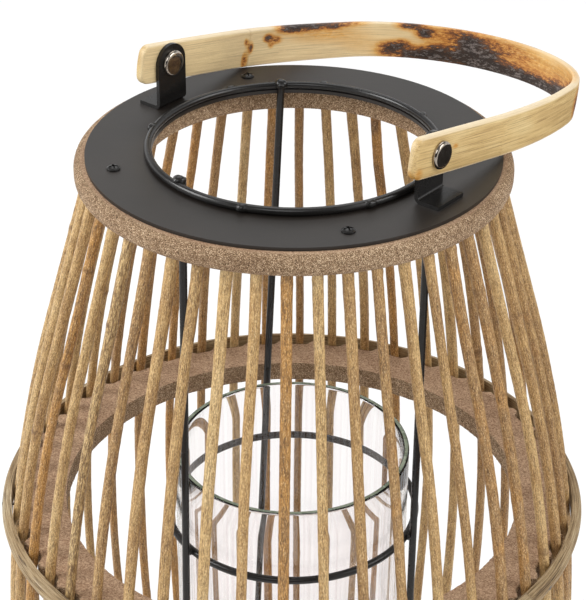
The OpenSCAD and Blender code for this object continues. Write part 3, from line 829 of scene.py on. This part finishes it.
def glass(material, painted_lip_light_material):
    """The cup: a flat lip with soft edges, a soft inner corner, and a thick floor hollowed a little."""
    low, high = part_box("glass_cup")
    r, floor_z, rim_z = high.x, low.z, high.z
    wall = 2.6 * MM
    floor = 5 * MM
    heel = 2 * MM
    inner_heel = 3 * MM
    lip = 0.85 * MM
    hollow = 0.5 * MM
    pinhole = 0.05 * MM

    def bend(centre_r, centre_z, radius, start, stop, count):
        turn = np.radians(np.linspace(start, stop, count))
        return [(centre_r + radius * math.cos(a), centre_z + radius * math.sin(a)) for a in turn]

    profile = [
        (pinhole, floor_z + hollow), (r * 0.5, floor_z + hollow), (r * 0.86, floor_z + 0.7 * hollow),
        (r * 0.91, floor_z + 0.02 * MM)]
    profile += bend(r - heel, floor_z + heel, heel, -88, 0, 9)
    profile += [(r, floor_z + step * (rim_z - floor_z)) for step in (0.1, 0.3, 0.5, 0.7, 0.9)]
    profile += bend(r - lip, rim_z - lip, lip, 0, 90, 7)
    profile += bend(r - wall + lip, rim_z - lip, lip, 90, 180, 7)
    profile += [(r - wall, floor_z + step * (rim_z - floor_z)) for step in (0.9, 0.7, 0.5, 0.3, 0.15)]
    profile += bend(r - wall - inner_heel, floor_z + floor + inner_heel, inner_heel, 0, -88, 9)
    profile += [(r * 0.5, floor_z + floor), (pinhole, floor_z + floor)]
    sides = 160
    ring = np.array(profile)
    skin = Skin()
    skin.add(turned(ring[:, :1], ring[:, 1:], bearings(sides)))
    piece = skin.build("glass_candle_cup", material)
    # The lip's faces take the material whose grey-green colour is painted light
    piece.data.materials.append(painted_lip_light_material)
    on_lip = np.flatnonzero(ring[:, 1] > rim_z - 0.1 * MM)
    for face in piece.data.polygons[on_lip[0] * sides:on_lip[-1] * sides]:
        face.material_index = 1
    finish_piece(piece, "cup", "clear_glass", "glass_cup")


# ---- Rivets ----

def rivet(node, facing, material):
    """A rivet head: nearly flat, with a rounded edge, and the post behind it if it has one.
    facing is +1 or -1, the way along X that the head looks."""
    low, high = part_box(node)
    head_r = (high.y - low.y) / 2
    post_r = 2.3 * MM
    head = 2.2 * MM
    tip = high.x if facing > 0 else low.x
    length = high.x - low.x
    edge = 1.3 * MM
    face_fall = 0.35 * MM
    edge_depth = 0.25 * MM
    turn_in = np.radians(np.linspace(8, 90, 9))
    crown = np.array([0.02, 0.3, 0.55, 0.8]) * (head_r - edge)
    profile = [(face_fall * (c / head_r) ** 2, c) for c in crown]
    profile += [
        (edge_depth + edge * (1 - math.cos(a)), head_r - edge + edge * math.sin(a)) for a in turn_in]
    profile += [(head - 0.1 * MM, head_r), (head, head_r - 0.1 * MM), (head, post_r)]
    if length > 1.5 * head:
        profile.append((length, post_r))
    profile.append((profile[-1][0], 0.05 * MM))
    depth, r = np.array(profile).T
    turn = bearings(64)
    grid = np.stack([
        np.broadcast_to((tip - facing * depth)[:, None], (len(r), len(turn))),
        (low.y + high.y) / 2 + facing * r[:, None] * np.cos(turn),
        (low.z + high.z) / 2 + r[:, None] * np.sin(turn)], -1)
    skin = Skin()
    skin.add(grid)
    finish_piece(skin.build("metal_" + node, material, 40), "lantern", "nickel", node)


# ---- Carried-over CAD nodes ----

def paint(material, *names):
    """Gives CAD nodes that keep their shape their material."""
    for name in names:
        for slot in nodes[name].material_slots:
            slot.material = material


# ---- Stage, lights and camera ----
LIGHT_AIM = Vector((0, 0, 0.28))


def panel(name, half_w, half_h, material):
    """A flat rectangle round its own origin."""
    mesh = bpy.data.meshes.new(name)
    corners = [(-half_w, -half_h, 0), (half_w, -half_h, 0), (half_w, half_h, 0), (-half_w, half_h, 0)]
    mesh.from_pydata(corners, [], [(0, 1, 2, 3)])
    mesh.materials.append(material)
    return new_object(name, mesh)


def face_lantern(item, heading, rise, distance):
    """Stands a light or a card at a bearing from +X and a rise above level, both in degrees, and
    turns it to the lantern."""
    turn, lift = math.radians(heading), math.radians(rise)
    item.location = LIGHT_AIM + distance * Vector((
        math.cos(turn) * math.cos(lift), math.sin(turn) * math.cos(lift), math.sin(lift)))
    item.rotation_euler = (LIGHT_AIM - item.location).to_track_quat("-Z", "Y").to_euler()


def stage():
    """A pale floor that glows a little, so that it stays white. The glow makes up for the lights
    where they fall off, away from the lantern."""
    s = Shader("pale_floor", Roughness=0.7)
    where = s.place()
    shade = s.noise(where, 0.6, 3)
    away = s.add("VectorMath", {0: where}, operation="LENGTH").outputs["Value"]
    s.feed("Base Color", s.ramp(shade, (0.3, (0.3, 0.3, 0.3, 1)), (0.7, (0.33, 0.33, 0.33, 1))))
    s.shader.inputs["Emission Color"].default_value = (1, 1, 1, 1)
    s.feed("Emission Strength", s.level(away, 0.9, 2.6, 0.68, 0.84))
    floor = panel("floor", 12, 12, s.material)


def softbox(name, heading, rise, distance, size, power):
    """A square area light that faces the lantern."""
    light = bpy.data.lights.new(name, "AREA")
    light.size = size
    light.energy = power
    face_lantern(new_object(name, light), heading, rise, distance)


def dark_card(name, heading, rise, distance, half_w, half_h, material):
    """A dim panel of the room that faces the lantern. Only its reflection is seen."""
    card = panel(name, half_w, half_h, material)
    face_lantern(card, heading, rise, distance)
    card.visible_camera = False
    card.visible_diffuse = False
    card.visible_transmission = False
    card.visible_shadow = False


def dark_cards():
    """The room's two dark sides, as the metal mirrors them."""
    s = Shader("dark_card", Roughness=0.9)
    weave = s.noise(s.place(), 0.05, 2)
    s.feed("Base Color", s.ramp(weave, (0.3, srgb(38, 36, 36)), (0.7, srgb(48, 46, 45))))
    dark_card("card_behind_camera", -51, 18, 1.7, 1.0, 0.6, s.material)
    dark_card("card_low_right", 52, -14, 0.43, 0.4, 0.16, s.material)


def lights():
    """Four soft lights, and a studio whose walls are white and whose ceiling is dimmer."""
    softbox("left_light", -138, 36, 1.6, 0.8, 17)
    softbox("right_light", 24, 36, 1.7, 0.9, 12)
    softbox("front_light", -62, 42, 1.7, 0.8, 5)
    softbox("back_light", 125, 62, 2.0, 1.4, 12)
    world = bpy.data.worlds.new("studio")
    world.use_nodes = True
    bpy.context.scene.world = world
    tree = world.node_tree
    sky = tree.nodes["Background"]
    where = tree.nodes.new("ShaderNodeTexCoord")
    height = tree.nodes.new("ShaderNodeSeparateXYZ")
    fade = tree.nodes.new("ShaderNodeValToRGB")
    tree.links.new(where.outputs["Generated"], height.inputs["Vector"])
    tree.links.new(height.outputs["Z"], fade.inputs["Fac"])
    tree.links.new(fade.outputs["Color"], sky.inputs["Color"])
    near, far = fade.color_ramp.elements
    near.position, near.color = 0.28, (1, 1, 1, 1)
    far.position, far.color = 0.56, (0.28, 0.28, 0.28, 1)


def camera():
    """The camera stands 0.7 m up and looks down 30 degrees on the lantern's top."""
    place = Vector((0.4268, -0.5271, 0.7055))
    ahead = Vector((-0.5439, 0.6717, -0.5030)).normalized()
    right = ahead.cross(Vector((0, 0, 1))).normalized()
    over = right.cross(ahead)
    roll = math.radians(0.38)
    right = right * math.cos(roll) + over * math.sin(roll)
    over = right.cross(ahead)
    view = bpy.data.cameras.new("camera")
    view.sensor_fit = "VERTICAL"
    view.sensor_height = 36
    view.lens = 114.56
    view.clip_start = 0.01
    view.clip_end = 50
    eye = new_object("camera", view)
    eye.matrix_world = Matrix((
        (right.x, over.x, -ahead.x, place.x), (right.y, over.y, -ahead.y, place.y),
        (right.z, over.z, -ahead.z, place.z), (0, 0, 0, 1)))
    bpy.context.scene.camera = eye
    bpy.context.scene.view_settings.view_transform = "Standard"


camera()
lights()
stage()
dark_cards()
steel = black_steel("black_plate", srgb(32, 28, 25), srgb(44, 39, 35), 0.34, 0.44)
wire = black_steel("black_wire", srgb(22, 21, 20), srgb(30, 28, 27), 0.2, 0.32)
board = fibreboard()
paint(steel, "top_plate")
paint(wire, "plate_screws", "bracket_right", "bracket_left")
paint(board, "top_ring", "base_ring")
metal = nickel()
rivet("rivet_cap_right", 1, metal)
rivet("rivet_cap_left", -1, metal)
rivet("rivet_stud_right", -1, metal)
rivet("rivet_stud_left", 1, metal)
paint(dull_steel(), "hoop_brads")
sticks(stick_wood())
hoop(cane())
middle_ring(board)
handle(bamboo())
cage(wire)
glass(clear_glass(), glass_lip_painted_light())
